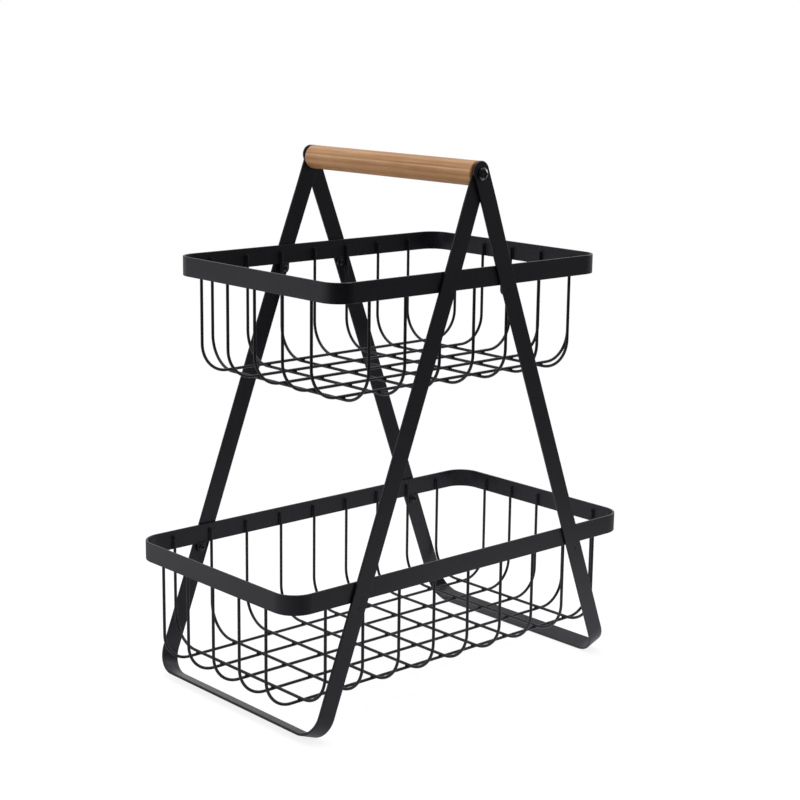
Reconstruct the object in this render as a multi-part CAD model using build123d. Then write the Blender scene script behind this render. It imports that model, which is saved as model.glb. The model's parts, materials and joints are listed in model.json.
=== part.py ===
# Two-tier wire basket with a turning wooden grip.
#
# Two frames, each bent in one plane from flat steel strap, lean against each other like an A.
# Their leg tops cross at the ends of a wooden grip, the right frame's outside the left one's.
# Between the legs hang two baskets: a short one above a longer one. Each basket is a rim of
# flat strip with U-shaped wires welded to its inner face, and four lugs under the rim that
# screws fasten to the legs from inside.
#
# Millimetres. X runs along the baskets, Y across them with the front at -Y, and Z up.
# The origin is in the middle of the footprint, on the surface that the basket stands on.

from build123d import *
from collections import namedtuple
from math import atan2, copysign, cos, sin
import os

os.makedirs("parts", exist_ok=True)

# Frames
grip_height = 430.0            # grip axis above the surface
foot_spread = 161.5            # from the grip axis sideways to where a leg's line meets the surface
strap_width = 16.0
strap_thickness = 2.0
strap_edge_radius = 0.5
strap_end_reach = 2.2          # middle of a leg's round end above the grip axis, along the leg
frame_bend_radius = 18.0       # inner radius of the two lower corners
splay_top = 27.0               # below the grip axis the crossed tops part company here
splay_foot = 76.0              # and here both legs lie in the same plane
splay_radius = 60.0

# Rims
rim_depth = 205.0              # outside, the same for both baskets
rim_height = 16.0
rim_thickness = 2.0
rim_edge_radius = 0.5
upper_rim_length = 290.0
upper_rim_corner_radius = 17.0 # outside
upper_rim_share = 0.8286       # rim's top edge above the surface, of the grip's height
lower_rim_length = 375.0
lower_rim_corner_radius = 20.0
lower_rim_share = 0.2884

# Basket wires
wire_diameter = 2.5
cross_wire_bend_radius = 27.0  # to the middle of the wire
long_wire_bend_radius = 24.5
wire_top_drop = 5.0            # wire end below the rim's top edge
weld_gap = 0.05                # between welded neighbours
upper_basket_drop = 96.3       # rim's top edge to the middle of the floor's lower layer
lower_basket_drop = 99.9
upper_cross_margin = 33.2      # rim's inner face to the first wire that runs across
upper_long_margin = 30.5       # rim's inner face to the first wire that runs lengthwise
lower_cross_margin = 34.3
lower_long_margin = 32.5
upper_cross_count = 7
upper_long_count = 5
lower_cross_count = 9
lower_long_count = 5

# Lugs and basket screws
lug_width = 9.0
screw_drop = 4.0               # screw axis below the rim's bottom edge
basket_screw_diameter = 3.0
basket_head_diameter = 6.0
basket_head_height = 1.9
lug_hole_clearance = 0.25      # around the screw in the lug
thread_fit = 0.05              # around a screw in its thread
screw_tip_sink = 0.2           # screw tip below the leg's outer face
head_to_wire = 0.4             # least room between a screw head and the wire beside it

# Grip
grip_diameter = 20.0
grip_edge_radius = 1.0
grip_end_gap = 0.3             # between the wood and the leg beside it
grip_screw_diameter = 5.0
grip_screw_running_fit = 0.08  # around the screw in the legs' holes
grip_head_diameter = 10.0
grip_head_height = 2.8
grip_head_gap = 0.3            # between the screw head and the outer leg
insert_diameter = 8.0
insert_length = 14.0
insert_recess = 1.0            # insert below the wood's end
screw_end_room = 3.0           # bore left beyond the insert

# Cross recess in the screw heads, as shares of the head
head_rim_share = 0.25          # straight side of the head, of its height
head_shoulder_shares = (0.70, 0.62)
cross_span_share = 0.62        # of the head's diameter
cross_slot_share = 0.16
cross_depth_share = 0.62       # of the head's height

# Sizes worked out from those above
leg_lean = atan2(foot_spread, grip_height)
leg_plane = rim_depth / 2 + strap_thickness / 2
foot_reach = (strap_width / 2 - strap_edge_radius) * sin(leg_lean)
foot_reach += (strap_thickness / 2 - strap_edge_radius) * cos(leg_lean) + strap_edge_radius
bar_drop = (grip_height - foot_reach) / cos(leg_lean)
wire_radius = wire_diameter / 2
wire_inset = rim_thickness + weld_gap + wire_radius
layer_step = wire_diameter + weld_gap
grip_length = 2 * (leg_plane - strap_thickness - grip_end_gap)

Basket = namedtuple(
    "Basket",
    "name length corner_radius top drop cross_margin cross_count long_margin long_count long_on_top",
)
BASKETS = (
    Basket(
        "upper", upper_rim_length, upper_rim_corner_radius, upper_rim_share * grip_height,
        upper_basket_drop, upper_cross_margin, upper_cross_count, upper_long_margin,
        upper_long_count, True,
    ),
    Basket(
        "lower", lower_rim_length, lower_rim_corner_radius, lower_rim_share * grip_height,
        lower_basket_drop, lower_cross_margin, lower_cross_count, lower_long_margin,
        lower_long_count, False,
    ),
)
SIDE_NAMES = {(-1, -1): "front_left", (1, -1): "front_right", (-1, 1): "back_left", (1, 1): "back_right"}


def leg_x(z):
    """Distance of a leg's middle line from the grip axis at height z."""
    return foot_spread * (grip_height - z) / grip_height


def frame_point(side, y, drop):
    """A point in the plane of one frame: side is -1 left or +1 right, drop runs down the leg."""
    return (side * drop * sin(leg_lean), y, grip_height - drop * cos(leg_lean))


def facing(x, y, z, outward):
    """A plane at a point with its normal along +Y or -Y."""
    return Plane((x, y, z), x_dir=(1, 0, 0), z_dir=(0, outward, 0))


def cylinder_along_y(radius, x, z, y_start, y_end):
    """A plain round bar parallel to Y."""
    return extrude(facing(x, y_start, z, 1) * Circle(radius), y_end - y_start)


# Both frames lie in the same two leg planes from the grip down. Only their leg tops part: the
# right frame's step outwards and the left one's inwards, each by half the strap's thickness.
def frame(side):
    step = strap_thickness / 2
    front = -leg_plane - side * step
    back = leg_plane + side * step
    stations = [
        (front, -strap_end_reach),
        (front, splay_top),
        (-leg_plane, splay_foot),
        (-leg_plane, bar_drop),
        (leg_plane, bar_drop),
        (leg_plane, splay_foot),
        (back, splay_top),
        (back, -strap_end_reach),
    ]
    corner = frame_bend_radius + strap_thickness / 2
    radii = [splay_radius, splay_radius, corner, corner, splay_radius, splay_radius]
    points = [frame_point(side, y, drop) for y, drop in stations]
    path = FilletPolyline(*points, radius=radii)
    across = (cos(leg_lean), 0, side * sin(leg_lean))
    start = Plane(points[0], x_dir=across, z_dir=path % 0)
    section = RectangleRounded(strap_width, strap_thickness, strap_edge_radius)
    body = sweep(start * section, path=path)
    for x, y, z in (points[0], points[-1]):
        end = cylinder_along_y(strap_width / 2, x, z, y - step, y + step)
        body += fillet(end.edges().filter_by(GeomType.CIRCLE), strap_edge_radius)
    hole = grip_screw_diameter / 2 + grip_screw_running_fit
    body -= cylinder_along_y(hole, 0, grip_height, -rim_depth, rim_depth)
    hole = basket_screw_diameter / 2 + thread_fit
    for basket in BASKETS:
        x, z = screw_axis(basket)
        body -= cylinder_along_y(hole, side * x, z, -rim_depth, rim_depth)
    return body


def rim(length, corner_radius, top):
    """A closed band of flat strip with rounded corners and softened edges."""
    base = Plane((0, 0, top - rim_height))
    outline = RectangleRounded(length, rim_depth, corner_radius)
    hollow = RectangleRounded(
        length - 2 * rim_thickness, rim_depth - 2 * rim_thickness, corner_radius - rim_thickness
    )
    band = extrude(base * (outline - hollow), rim_height)
    edges = band.edges().group_by(Axis.Z)
    return fillet(edges[0] + edges[-1], rim_edge_radius)


def u_wire(lengthwise, place, half_span, top, floor):
    """One wire bent to a U: down from the rim, across the floor and up again."""
    flat = [(-half_span, top), (-half_span, floor), (half_span, floor), (half_span, top)]
    points = [(s, place, z) if lengthwise else (place, s, z) for s, z in flat]
    bend_radius = long_wire_bend_radius if lengthwise else cross_wire_bend_radius
    path = FilletPolyline(*points, radius=bend_radius)
    start = Plane(points[0], z_dir=path % 0)
    return sweep(start * Circle(wire_radius), path=path)


def spread(inner_half, margin, count):
    """Evenly spaced places, the outer ones a margin inside the rim's inner face."""
    reach = inner_half - margin
    return [reach * (2 * i / (count - 1) - 1) for i in range(count)]


def cross_places(basket):
    return spread(basket.length / 2 - rim_thickness, basket.cross_margin, basket.cross_count)


def screw_axis(basket):
    """Distance from the middle and height of a basket's screws.

    A screw sits on the leg's middle line, or beside it just clear of the nearest wire."""
    z = basket.top - rim_height - screw_drop
    x = leg_x(z)
    room = wire_radius + basket_head_diameter / 2 + head_to_wire
    nearest = min(cross_places(basket), key=lambda wire: abs(wire - x))
    if abs(nearest - x) < room:
        x = nearest + copysign(room, x - nearest)
    return x, z


def lug(x, y_sign, z):
    """A round-ended plate under the rim, as thick as the rim and flush with it."""
    up = -y_sign
    tongue = Pos(0, up * screw_drop / 2) * Rectangle(lug_width, screw_drop)
    below_rim = Pos(0, up * (screw_drop - lug_width) / 2) * Rectangle(lug_width, screw_drop + lug_width)
    shape = (tongue + Circle(lug_width / 2)) & below_rim
    shape -= Circle(basket_screw_diameter / 2 + lug_hole_clearance)
    near = y_sign * (rim_depth / 2 - rim_thickness)
    return extrude(facing(x, near, z, y_sign) * shape, rim_thickness)


def screw(head_diameter, head_height, shank_diameter, shank_length):
    """A round-headed screw with a cross recess: the head on +Z, the shank down from Z = 0."""
    radius = head_diameter / 2
    side = head_height * head_rim_share
    out_share, up_share = head_shoulder_shares
    shoulder = (radius * out_share, side + (head_height - side) * up_share)
    outline = Polyline((0, head_height), (0, 0), (radius, 0), (radius, side))
    crown = ThreePointArc((radius, side), shoulder, (0, head_height))
    head = revolve(Plane.XZ * make_face([outline, crown]), Axis.Z)
    span = head_diameter * cross_span_share
    slot = head_diameter * cross_slot_share
    cross = Rectangle(span, slot) + Rectangle(slot, span)
    depth = head_height * cross_depth_share
    head -= extrude(Plane((0, 0, head_height - depth)) * cross, head_height)
    return head + extrude(Plane.XY.offset(-shank_length) * Circle(shank_diameter / 2), shank_length)


def write(name, *solids):
    shape = solids[0] if len(solids) == 1 else Compound(children=list(solids))
    export_step(shape, f"parts/{name}.step")


# Frames
write("left_frame", frame(-1))
write("right_frame", frame(1))

# Baskets
for basket in BASKETS:
    write(f"{basket.name}_rim", rim(basket.length, basket.corner_radius, basket.top))
    wire_top = basket.top - wire_top_drop
    low = basket.top - basket.drop
    high = low + layer_step
    long_floor, cross_floor = (high, low) if basket.long_on_top else (low, high)
    half_depth = rim_depth / 2 - wire_inset
    half_length = basket.length / 2 - wire_inset
    for i, x in enumerate(cross_places(basket)):
        write(f"{basket.name}_cross_wire_{i + 1}", u_wire(False, x, half_depth, wire_top, cross_floor))
    long_places = spread(rim_depth / 2 - rim_thickness, basket.long_margin, basket.long_count)
    for i, y in enumerate(long_places):
        write(f"{basket.name}_long_wire_{i + 1}", u_wire(True, y, half_length, wire_top, long_floor))
    x, z = screw_axis(basket)
    seat = rim_depth / 2 - rim_thickness
    reach = rim_thickness + strap_thickness - screw_tip_sink
    one = screw(basket_head_diameter, basket_head_height, basket_screw_diameter, reach)
    screws = []
    for (x_sign, y_sign), side_name in SIDE_NAMES.items():
        write(f"{basket.name}_lug_{side_name}", lug(x_sign * x, y_sign, z))
        screws.append(facing(x_sign * x, y_sign * seat, z, -y_sign) * one)
    write(f"{basket.name}_basket_screws", *screws)

# Grip with its inserts and screws
bore_radius = insert_diameter / 2 + thread_fit
bore_depth = insert_recess + insert_length + screw_end_room
wood = cylinder_along_y(grip_diameter / 2, 0, grip_height, -grip_length / 2, grip_length / 2)
wood = fillet(wood.edges().filter_by(GeomType.CIRCLE), grip_edge_radius)
inserts = []
grip_screws = []
for y_sign in (-1, 1):
    end = y_sign * grip_length / 2
    wood -= facing(0, end, grip_height, -y_sign) * extrude(Circle(bore_radius), bore_depth)
    sleeve = Circle(insert_diameter / 2) - Circle(grip_screw_diameter / 2 + thread_fit)
    insert_end = end - y_sign * insert_recess
    inserts.append(facing(0, insert_end, grip_height, -y_sign) * extrude(sleeve, insert_length))
    outer_face = leg_plane + strap_thickness + grip_head_gap
    reach = outer_face - grip_length / 2 + insert_recess + insert_length
    bolt = screw(grip_head_diameter, grip_head_height, grip_screw_diameter, reach)
    grip_screws.append(facing(0, y_sign * outer_face, grip_height, y_sign) * bolt)
write("wooden_grip", wood)
write("grip_inserts", *inserts)
write("grip_screws", *grip_screws)
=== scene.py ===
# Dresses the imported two-tier wire basket: black powder-coated steel, an oiled beech grip, black
# screws and the weld beads that hold the wires, on a white floor in soft studio light.
# Metres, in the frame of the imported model: X along the baskets, front at -Y, Z up.

import json
from math import cos, pi, sin

import bpy
from mathutils import Matrix, Vector

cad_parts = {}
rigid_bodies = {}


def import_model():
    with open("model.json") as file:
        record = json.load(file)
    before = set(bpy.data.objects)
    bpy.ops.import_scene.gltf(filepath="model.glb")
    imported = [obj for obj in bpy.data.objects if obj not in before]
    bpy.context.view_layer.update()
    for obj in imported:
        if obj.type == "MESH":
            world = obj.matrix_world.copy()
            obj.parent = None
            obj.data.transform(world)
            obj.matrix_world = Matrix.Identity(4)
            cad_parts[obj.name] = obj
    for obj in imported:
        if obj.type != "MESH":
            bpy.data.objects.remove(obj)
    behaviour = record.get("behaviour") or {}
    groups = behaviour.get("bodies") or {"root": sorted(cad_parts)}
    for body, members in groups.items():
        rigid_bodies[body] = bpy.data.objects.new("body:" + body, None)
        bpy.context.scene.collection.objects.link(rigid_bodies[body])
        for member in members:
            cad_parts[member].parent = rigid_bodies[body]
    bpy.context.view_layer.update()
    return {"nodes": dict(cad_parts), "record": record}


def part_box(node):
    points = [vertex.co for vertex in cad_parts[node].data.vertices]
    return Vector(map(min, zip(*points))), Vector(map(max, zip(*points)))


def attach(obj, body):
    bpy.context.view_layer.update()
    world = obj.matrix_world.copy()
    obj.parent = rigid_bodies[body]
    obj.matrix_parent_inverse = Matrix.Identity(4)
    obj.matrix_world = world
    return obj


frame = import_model()
nodes = frame["nodes"]

# Camera
CAMERA_PLACE = (-0.96663, -1.08141, 0.54657)
CAMERA_YAW = -0.73566            # radians about Z from looking along +Y
CAMERA_PITCH = -0.21286
CAMERA_ROLL = 0.01291
LENS_IN_PICTURE_WIDTHS = 2.20351
SENSOR_WIDTH = 36.0

# Sizes of the part that the beads and the wood follow
WIRE_RADIUS = 0.00125
RIM_THICKNESS = 0.002
LUG_WIDTH = 0.009
GRIP_HEIGHT = 0.430

# Weld beads
WIRE_END_WIDTH = 2.9 * WIRE_RADIUS
WIRE_END_FOOT = 0.7 * WIRE_RADIUS        # depth of the block that the crest is drawn out of
WIRE_END_SHOULDER = 0.4 * WIRE_RADIUS
WIRE_END_CREST = 0.45 * WIRE_RADIUS
WIRE_END_TAPER = (0.72, 1.0, 0.97)       # crest against its foot
WIRE_END_LAP = 0.0004                    # bead above the wire's end
CROSSING_WIDTH = 1.5 * WIRE_RADIUS
CROSSING_HEIGHT = 0.8 * WIRE_RADIUS
CROSSING_LOBE = 0.75 * WIRE_RADIUS
CROSSING_LOBE_TAPER = (1.0, 1.0, 0.6)
LUG_BEAD_DEPTH = 0.0008
LUG_BEAD_HEIGHT = 0.0022
LUG_BEAD_SHOULDER = 0.0004
LUG_BEAD_CREST = 0.0003
LUG_BEAD_RIPPLES = 6

# Wood
PITH_SHIFT = (0.017, 0.0, 0.026)         # the rings' middle lies this far left of the axis and below it
PITH_TILT = (0.006, 0.0, 0.010)          # in radians
RING_SPACING = 0.0041
RING_WANDER = 0.0022
STRIPE_STARTS = (0.0026, 0.0036)         # heights over the grip's axis
STRIPE_ENDS = (0.0038, 0.0050)
# Painted highlight: the wood is painted lighter upwards from these heights over the grip's axis
PAINTED_HIGHLIGHT_FROM = (0.0045, 0.0095)
STRIPE_WANDER = 0.0016
ALONG_GRAIN = (1.0, 0.030, 1.0)          # patterns are drawn out along the grip
ALONG_RINGS = (1.0, 0.04, 1.0)
ALONG_PORES = (1.0, 0.07, 1.0)

# Studio: dark at the front left, bright at the back right, with a bright stretch of floor on the left
FLOOR_SIZE = 16.0
WHITE = (1.0, 1.0, 1.0, 1.0)
BACK_RIGHT = (0.55, 0.80, 0.0)
BACK_RIGHT_ABOVE = (0.55, 0.80, 0.20)
BACK_LEFT = (-0.656, 0.755, 0.0)
FRONT_LEFT = (-0.78, -0.63, 0.0)
LEFT = (-1.0, 0.0, 0.0)
BRIGHT_FLOOR_MIDDLE = (0.05, -0.12, 0.0)


def photo_camera():
    """The photo's camera, placed by its yaw, pitch and roll."""
    forward = Vector((
        -sin(CAMERA_YAW) * cos(CAMERA_PITCH), cos(CAMERA_YAW) * cos(CAMERA_PITCH), sin(CAMERA_PITCH)
    ))
    level = Vector((cos(CAMERA_YAW), sin(CAMERA_YAW), 0.0))
    upright = level.cross(forward)
    right = level * cos(CAMERA_ROLL) + upright * sin(CAMERA_ROLL)
    up = upright * cos(CAMERA_ROLL) - level * sin(CAMERA_ROLL)
    data = bpy.data.cameras.new("photo_camera")
    data.sensor_width = SENSOR_WIDTH
    data.lens = SENSOR_WIDTH * LENS_IN_PICTURE_WIDTHS
    camera = bpy.data.objects.new("photo_camera", data)
    axes = Matrix((right, up, -forward)).transposed()
    camera.matrix_world = Matrix.Translation(CAMERA_PLACE) @ axes.to_4x4()
    bpy.context.scene.collection.objects.link(camera)
    bpy.context.scene.camera = camera


class Value:
    """A node's output. Arithmetic on it adds Math nodes to its tree."""

    def __init__(self, nodes_of, socket):
        self.nodes_of = nodes_of
        self.socket = socket

    def math(self, operation, first, second):
        return self.nodes_of.add("Math", {"operation": operation}, {0: first, 1: second})

    def other(self, name):
        """Another output of the same node."""
        return Value(self.nodes_of, self.socket.node.outputs[name])

    def __add__(self, other):
        return self.math("ADD", self, other)

    def __sub__(self, other):
        return self.math("SUBTRACT", self, other)

    def __rsub__(self, other):
        return self.math("SUBTRACT", other, self)

    def __mul__(self, other):
        return self.math("MULTIPLY", self, other)

    __radd__ = __add__
    __rmul__ = __mul__


class Nodes:
    """The shader nodes of one material or world, each added by one method."""

    def __init__(self, owner):
        owner.use_nodes = True
        self.tree = owner.node_tree
        self.tree.nodes.clear()

    def add(self, kind, settings=None, inputs=None, output=0):
        node = self.tree.nodes.new("ShaderNode" + kind)
        for name, value in (settings or {}).items():
            if name == "stops":
                self.set_stops(node.color_ramp, value)
            else:
                setattr(node, name, value)
        for key, value in (inputs or {}).items():
            if isinstance(value, Value):
                self.tree.links.new(value.socket, node.inputs[key])
            else:
                node.inputs[key].default_value = value
        return Value(self, node.outputs[output]) if node.outputs else None

    @staticmethod
    def set_stops(ramp, stops):
        while len(ramp.elements) < len(stops):
            ramp.elements.new(1.0)
        for element, (place, tint) in zip(ramp.elements, stops):
            element.position = place
            element.color = (*tint, 1.0)

    def noise(self, point, scale, detail=2.0, roughness=0.5):
        return self.add(
            "TexNoise", inputs={"Vector": point, "Scale": scale, "Detail": detail, "Roughness": roughness}
        )

    def ramp(self, factor, *stops):
        return self.add("ValToRGB", {"stops": stops}, {"Fac": factor})

    def bump(self, height, strength, distance):
        return self.add("Bump", inputs={"Strength": strength, "Distance": distance, "Height": height})

    def measure(self, operation, point, other=None):
        """A number worked out from a vector: its length, or its distance or dot product with another."""
        vectors = {0: point} if other is None else {0: point, 1: other}
        return self.add("VectorMath", {"operation": operation}, vectors, output="Value")

    def step(self, value, low, high, to_low=0.0, to_high=1.0):
        return self.add(
            "MapRange",
            {"interpolation_type": "SMOOTHSTEP"},
            {"Value": value, "From Min": low, "From Max": high, "To Min": to_low, "To Max": to_high},
        )


def linear(*picture_tint):
    """A picture colour, 0 to 255, as linear light."""
    shares = [part / 255 for part in picture_tint]
    return tuple(s / 12.92 if s <= 0.04045 else ((s + 0.055) / 1.055) ** 2.4 for s in shares)


def powder_coat():
    """Satin black powder coat: fine orange peel, faint clouds in its tint and sheen."""
    material = bpy.data.materials.new("satin_powder_coat")
    n = Nodes(material)
    point = n.add("TexCoord", output="Object")
    cloud = n.noise(point, 24.0, 3.0, 0.6)
    speck = n.noise(point, 1500.0)
    peel = n.noise(point, 700.0, 3.0, 0.55)
    grit = n.add("TexVoronoi", {"feature": "F1"}, {"Vector": point, "Scale": 1200.0})
    tint = n.ramp(
        cloud * 0.7 + speck * 0.3, (0.30, (0.0034, 0.0032, 0.0037)), (0.70, (0.0056, 0.0052, 0.0060))
    )
    surface = n.add("BsdfPrincipled", inputs={
        "Base Color": tint,
        "Roughness": 0.36 + cloud * 0.10 + speck * 0.06,
        "Normal": n.bump(peel * 0.8 + grit * 0.2, 0.35, 0.00012),
        "Specular IOR Level": 0.52,
        "Specular Tint": (0.86, 0.84, 1.0, 1.0),
    })
    n.add("OutputMaterial", inputs={"Surface": surface})
    return material


def grip_wood():
    """Oiled beech: growth rings cut lengthwise into long bands, one light stripe, fine streaks, pores, and a
    painted highlight on its top.
    """
    material = bpy.data.materials.new("oiled_beech")
    n = Nodes(material)
    point = n.add("TexCoord", output="Object")
    from_axis = n.add("Mapping", inputs={"Vector": point, "Location": (0.0, 0.0, -GRIP_HEIGHT)})
    from_pith = n.add("Mapping", inputs={
        "Vector": from_axis, "Location": PITH_SHIFT, "Rotation": PITH_TILT, "Scale": ALONG_RINGS,
    })
    along = n.add("Mapping", inputs={"Vector": point, "Scale": ALONG_GRAIN})
    wander = n.noise(along, 90.0, 2.0)
    streak = n.noise(along, 620.0, 4.0, 0.65)
    pore = n.noise(n.add("Mapping", inputs={"Vector": point, "Scale": ALONG_PORES}), 2400.0, 2.0, 0.7)
    mottle = n.noise(point, 26.0, 3.0)
    reach = n.measure("LENGTH", from_pith)
    phase = (reach + wander * RING_WANDER) * (2 * pi / RING_SPACING)
    ring = n.add("Math", {"operation": "SINE"}, {0: phase})
    parts = n.add("SeparateXYZ", inputs={"Vector": from_axis})
    height = parts.other("Z") + wander * STRIPE_WANDER
    stripe = n.step(height, *STRIPE_STARTS) * n.step(height, *STRIPE_ENDS, 1.0, 0.0)
    # Painted highlight: the top of the grip is painted lighter
    painted_top_highlight = n.step(height, *PAINTED_HIGHLIGHT_FROM)
    tone = 0.44 + ring * 0.05 + (streak - 0.5) * 0.42 + (mottle - 0.5) * 0.30 + stripe * 0.24 + painted_top_highlight * 0.10
    wood = n.ramp(
        tone, (0.30, linear(152, 104, 64)), (0.45, linear(173, 125, 82)), (0.56, linear(184, 140, 97)),
        (0.72, linear(200, 164, 126)),
    )
    dark = n.step(pore, 0.60, 0.80, 0.0, 0.40)
    tinted = n.add(
        "Mix",
        {"data_type": "RGBA", "blend_type": "MULTIPLY"},
        {6: wood, 7: (*linear(158, 118, 86), 1.0), 0: dark},
        output=2,
    )
    surface = n.add("BsdfPrincipled", inputs={
        "Base Color": tinted,
        "Roughness": 0.44 + streak * 0.12 + dark * 0.25,
        "Normal": n.bump(streak * 0.6 - dark, 0.25, 0.0001),
        "Specular IOR Level": 0.4,
    })
    n.add("OutputMaterial", inputs={"Surface": surface})
    return material


def plated_screw(name, tint_low, tint_high, roughness, coat_weight):
    """Black plating with faint tool marks."""
    material = bpy.data.materials.new(name)
    n = Nodes(material)
    point = n.add("TexCoord", output="Object")
    marks = n.noise(point, 900.0, 4.0)
    surface = n.add("BsdfPrincipled", inputs={
        "Base Color": n.ramp(marks, (0.3, tint_low), (0.7, tint_high)),
        "Roughness": roughness + marks * 0.12,
        "Normal": n.bump(marks, 0.15, 0.00005),
        "Coat Weight": coat_weight,
    })
    n.add("OutputMaterial", inputs={"Surface": surface})
    return material


def brass():
    """Turned brass of the inserts hidden in the grip."""
    material = bpy.data.materials.new("turned_brass")
    n = Nodes(material)
    point = n.add("TexCoord", output="Object")
    rings = n.add("TexWave", {"bands_direction": "Y"}, {"Vector": point, "Scale": 900.0, "Distortion": 0.6})
    surface = n.add("BsdfPrincipled", inputs={
        "Base Color": n.ramp(rings, (0.0, (0.58, 0.42, 0.16)), (1.0, (0.80, 0.63, 0.30))),
        "Roughness": 0.30 + rings * 0.12,
        "Metallic": 1.0,
    })
    n.add("OutputMaterial", inputs={"Surface": surface})
    return material


def dress(piece, material):
    """Gives a piece one material all over."""
    piece.data.materials.clear()
    piece.data.materials.append(material)
    for face in piece.data.polygons:
        face.material_index = 0


def start_bead(name, size, middle):
    """A block of the given size around its middle, in edit mode."""
    bpy.ops.object.select_all(action="DESELECT")
    bpy.ops.mesh.primitive_cube_add(size=1.0)
    bead = bpy.context.active_object
    bead.name = name
    bpy.ops.object.mode_set(mode="EDIT")
    bpy.ops.mesh.select_mode(type="VERT")
    bpy.ops.mesh.select_all(action="SELECT")
    bpy.ops.transform.resize(value=size, center_override=(0.0, 0.0, 0.0))
    bpy.ops.transform.translate(value=middle)
    return bead


def cut_across(place, direction, swell):
    """A cut through the whole bead, whose new edges are then swollen or drawn in."""
    bpy.ops.mesh.select_all(action="SELECT")
    bpy.ops.mesh.bisect(plane_co=place, plane_no=direction)
    bpy.ops.transform.resize(value=swell, center_override=place)


def pick_faces(bead, test):
    """Selects only the faces whose normal passes the test."""
    bpy.ops.mesh.select_all(action="DESELECT")
    bpy.ops.mesh.select_mode(type="FACE")
    bpy.ops.object.mode_set(mode="OBJECT")
    for face in bead.data.polygons:
        face.select = test(face.normal)
    bpy.ops.object.mode_set(mode="EDIT")


def end_bead(bead):
    """Turns the faces outwards, rounds and smooths the bead and leaves edit mode."""
    bpy.ops.mesh.select_all(action="SELECT")
    bpy.ops.mesh.normals_make_consistent(inside=False)
    bpy.ops.object.mode_set(mode="OBJECT")
    rounding = bead.modifiers.new("rounding", "SUBSURF")
    rounding.levels = rounding.render_levels = 1
    bpy.ops.object.modifier_apply(modifier=rounding.name)
    bpy.ops.object.shade_smooth()
    dress(bead, coat)
    return bead


def wire_end_bead(length):
    """Weld along a wire's end, foot in the strip at y = 0, crest towards -Y, from z = 0 down."""
    middle_y = -0.15 * WIRE_RADIUS
    middle = (0.0, middle_y, -length / 2)
    bead = start_bead("wire_end_bead", (WIRE_END_WIDTH, WIRE_END_FOOT, length), middle)
    for share, swell in ((0.20, 1.08), (0.42, 0.90), (0.63, 1.10), (0.84, 0.92)):
        cut_across((0.0, middle_y, -length * share), (0.0, 0.0, 1.0), (swell, 1.0, 1.0))
    pick_faces(bead, lambda normal: normal.y < -0.5)
    bpy.ops.mesh.inset(thickness=WIRE_END_SHOULDER)
    bpy.ops.mesh.extrude_region_move(TRANSFORM_OT_translate={"value": (0.0, -WIRE_END_CREST, 0.0)})
    bpy.ops.transform.resize(value=WIRE_END_TAPER, center_override=middle)
    return end_bead(bead)


def crossing_bead():
    """Metal pressed out where two floor wires cross: a small cushion with four lobes."""
    bead = start_bead("crossing_bead", (CROSSING_WIDTH, CROSSING_WIDTH, CROSSING_HEIGHT), (0.0, 0.0, 0.0))
    pick_faces(bead, lambda normal: abs(normal.z) < 0.5)
    bpy.ops.mesh.inset(thickness=0.1 * CROSSING_WIDTH, use_individual=True)
    bpy.ops.mesh.extrude_faces_move(TRANSFORM_OT_shrink_fatten={"value": CROSSING_LOBE})
    bpy.ops.transform.resize(value=CROSSING_LOBE_TAPER, center_override=(0.0, 0.0, 0.0))
    end_bead(bead)
    bead.data.transform(about_z(0.5))
    return bead


def lug_bead():
    """Low coated weld between a rim and a lug: foot in the strip at y = 0, crest towards -Y."""
    bead = start_bead("lug_bead", (LUG_WIDTH, LUG_BEAD_DEPTH, LUG_BEAD_HEIGHT), (0.0, 0.0, 0.0))
    for i in range(1, LUG_BEAD_RIPPLES):
        place = ((i / LUG_BEAD_RIPPLES - 0.5) * LUG_WIDTH, 0.0, 0.0)
        cut_across(place, (1.0, 0.0, 0.0), (1.0, 1.0, 1.15 if i % 2 else 0.85))
    pick_faces(bead, lambda normal: normal.y < -0.5)
    bpy.ops.mesh.inset(thickness=LUG_BEAD_SHOULDER)
    bpy.ops.transform.translate(value=(0.0, -LUG_BEAD_CREST, 0.0))
    return end_bead(bead)


def spread_beads(name, bead, turns):
    """Copies of a bead, each moved by its own matrix, joined to one piece."""
    copies = []
    for turn in turns:
        piece = bead.copy()
        piece.data = bead.data.copy()
        piece.data.transform(turn)
        bpy.context.scene.collection.objects.link(piece)
        copies.append(piece)
    bpy.ops.object.select_all(action="DESELECT")
    for piece in copies:
        piece.select_set(True)
    bpy.context.view_layer.objects.active = copies[0]
    bpy.ops.object.join()
    copies[0].name = copies[0].data.name = name
    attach(copies[0], "stand")


def about_z(quarter_turns):
    """A turn about Z by a number of quarter turns."""
    return Matrix.Rotation(quarter_turns * pi / 2, 4, "Z")


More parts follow.
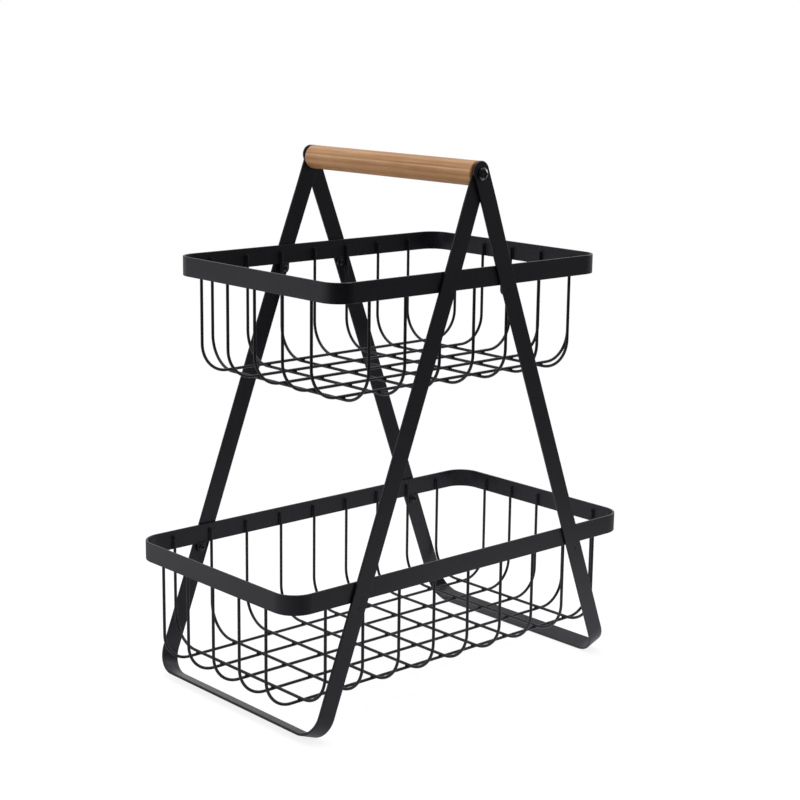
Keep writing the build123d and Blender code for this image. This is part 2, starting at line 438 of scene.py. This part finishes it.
def weld_basket(tier):
    """Beads of one basket: at the wires' ends, where its floor wires cross, and over its lugs."""
    rim_low, rim_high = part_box(tier + "_rim")
    inner_y = rim_high[1] - RIM_THICKNESS
    inner_x = rim_high[0] - RIM_THICKNESS
    cross = [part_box(name) for name in sorted(nodes) if name.startswith(tier + "_cross_wire")]
    long = [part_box(name) for name in sorted(nodes) if name.startswith(tier + "_long_wire")]
    crossing_x = [(low[0] + high[0]) / 2 for low, high in cross]
    crossing_y = [(low[1] + high[1]) / 2 for low, high in long]
    wire_top = cross[0][1][2]
    start = wire_top + WIRE_END_LAP
    places = []
    for x in crossing_x:
        places.append(Matrix.Translation((x, inner_y, start)))
        places.append(Matrix.Translation((x, -inner_y, start)) @ about_z(2))
    for y in crossing_y:
        places.append(Matrix.Translation((inner_x, y, start)) @ about_z(-1))
        places.append(Matrix.Translation((-inner_x, y, start)) @ about_z(1))
    spread_beads(tier + "_wire_end_welds", wire_end_bead(start - rim_low[2]), places)
    contact = (cross[0][0][2] + long[0][0][2]) / 2 + WIRE_RADIUS
    places = [Matrix.Translation((x, y, contact)) for x in crossing_x for y in crossing_y]
    spread_beads(tier + "_floor_welds", crossing_bead(), places)
    places = []
    for side in ("left", "right"):
        low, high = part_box(tier + "_lug_back_" + side)
        middle = (low[0] + high[0]) / 2
        places.append(Matrix.Translation((middle, inner_y, rim_low[2])))
        places.append(Matrix.Translation((middle, -inner_y, rim_low[2])) @ about_z(2))
    spread_beads(tier + "_lug_welds", lug_bead(), places)


def studio_floor():
    """White floor with the object's soft shadow.

    Gloss sees it bright near the basket, on the left and towards the back right, and dark at the front left.
    """
    bpy.ops.object.select_all(action="DESELECT")
    bpy.ops.mesh.primitive_plane_add(size=FLOOR_SIZE)
    floor = bpy.context.active_object
    floor.name = "floor"
    material = bpy.data.materials.new("white_floor")
    n = Nodes(material)
    camera_ray = n.add("LightPath", output="Is Camera Ray")
    point = n.add("TexCoord", output="Object")
    reach = n.measure("LENGTH", point)
    matt = n.add("BsdfDiffuse", inputs={"Color": (0.86, 0.86, 0.87, 1.0)})
    faint = n.add("BsdfDiffuse", inputs={"Color": (0.26, 0.26, 0.26, 1.0)})
    glow = n.add("Emission", inputs={"Color": WHITE, "Strength": 0.83})
    near = n.add("AddShader", inputs={0: faint, 1: glow})
    white = n.add("Emission", inputs={"Color": WHITE, "Strength": 1.0})
    shown = n.add("MixShader", inputs={0: n.step(reach, 0.30, 0.60), 1: near, 2: white})
    bearing = n.add("VectorMath", {"operation": "NORMALIZE"}, {0: point})
    front_left = n.measure("DOT_PRODUCT", bearing, FRONT_LEFT)
    back_right = n.measure("DOT_PRODUCT", point, BACK_RIGHT)
    left = n.measure("DOT_PRODUCT", point, LEFT)
    off_middle = n.measure("DISTANCE", point, BRIGHT_FLOOR_MIDDLE)
    dark_side = n.step(front_left, 0.12, 0.55) * n.step(reach, 0.30, 0.85, 0.35, 0.95)
    card = n.step(left, 0.22, 0.50) * n.step(left, 0.70, 1.15, 1.20, 0.0)
    open_floor = n.step(back_right, -0.60, 1.20, 0.15, 0.50) * n.step(left, 0.65, 1.10, 1.0, 0.3)
    sheen = (n.step(off_middle, 0.20, 0.62, 0.80, 0.0) + card + open_floor) * (1 - dark_side)
    mirrored = n.add("Emission", inputs={"Color": WHITE, "Strength": sheen})
    plain = n.add("MixShader", inputs={0: camera_ray.other("Is Glossy Ray"), 1: matt, 2: mirrored})
    seen = camera_ray.math("MAXIMUM", camera_ray, camera_ray.other("Is Transmission Ray"))
    n.add("OutputMaterial", inputs={"Surface": n.add("MixShader", inputs={0: seen, 1: plain, 2: shown})})
    floor.data.materials.append(material)


def studio_world():
    """White to the camera.

    Its light comes mostly from the back right, and gloss sees it dimmer at the back left.
    """
    world = bpy.data.worlds.new("studio")
    bpy.context.scene.world = world
    n = Nodes(world)
    camera_ray = n.add("LightPath", output="Is Camera Ray")
    direction = n.add("TexCoord", output="Generated")
    back_right = n.measure("DOT_PRODUCT", direction, BACK_RIGHT_ABOVE)
    back_left = n.measure("DOT_PRODUCT", direction, BACK_LEFT)
    soft_strength = n.step(back_right, -0.7, 0.9, 0.34, 0.62)
    soft = n.add("Background", inputs={"Color": WHITE, "Strength": soft_strength})
    gloss = n.step(back_right, -0.5, 1.0, 0.06, 1.0) * n.step(back_left, 0.5, 0.95, 1.0, 0.4)
    mirrored = n.add("Background", inputs={"Color": WHITE, "Strength": gloss})
    plain = n.add("MixShader", inputs={0: camera_ray.other("Is Glossy Ray"), 1: soft, 2: mirrored})
    white = n.add("Background", inputs={"Color": WHITE, "Strength": 1.0})
    seen = camera_ray.math("MAXIMUM", camera_ray, camera_ray.other("Is Transmission Ray"))
    surface = n.add("MixShader", inputs={0: seen, 1: plain, 2: white})
    n.add("OutputWorld", inputs={"Surface": surface})


def softbox(name, place, aim, width, height, watts):
    """A rectangular lamp at a place, turned to what it lights."""
    data = bpy.data.lights.new(name, "AREA")
    data.shape = "RECTANGLE"
    data.size = width
    data.size_y = height
    data.energy = watts
    lamp = bpy.data.objects.new(name, data)
    direction = Vector(aim) - Vector(place)
    lamp.matrix_world = Matrix.Translation(place) @ direction.to_track_quat("-Z", "Y").to_matrix().to_4x4()
    bpy.context.scene.collection.objects.link(lamp)


photo_camera()

coat = powder_coat()
glossy_plating = plated_screw(
    "glossy_black_plating", (0.004, 0.004, 0.005), (0.009, 0.009, 0.010), roughness=0.10, coat_weight=0.8
)
dull_plating = plated_screw(
    "dull_black_plating", (0.0045, 0.0045, 0.005), (0.008, 0.008, 0.009), roughness=0.42, coat_weight=0.0
)
FINISHES = {
    "black_coat": coat,
    "grip_wood": grip_wood(),
    "insert_brass": brass(),
    "black_screw": glossy_plating,
}
for subpart in frame["record"]["subparts"]:
    dress(nodes[subpart["node"]], FINISHES[subpart["material_slot"]])
for tier in ("upper", "lower"):
    dress(nodes[tier + "_basket_screws"], dull_plating)
    weld_basket(tier)
for pattern in ("wire_end_bead", "crossing_bead", "lug_bead"):
    for spare in [piece for piece in bpy.data.objects if piece.name.startswith(pattern)]:
        bpy.data.objects.remove(spare)

studio_floor()
studio_world()
softbox("left_softbox", (-1.7, 0.6, 0.9), aim=(0.0, 0.0, 0.25), width=1.2, height=1.4, watts=10.0)
softbox("right_softbox", (1.6, -0.1, 0.8), aim=(0.0, -0.1, 0.42), width=0.5, height=0.5, watts=3.0)
softbox("top_softbox", (0.1, 0.1, 1.9), aim=(0.0, 0.0, 0.2), width=1.6, height=1.6, watts=15.0)
bpy.context.scene.view_settings.view_transform = "Standard"
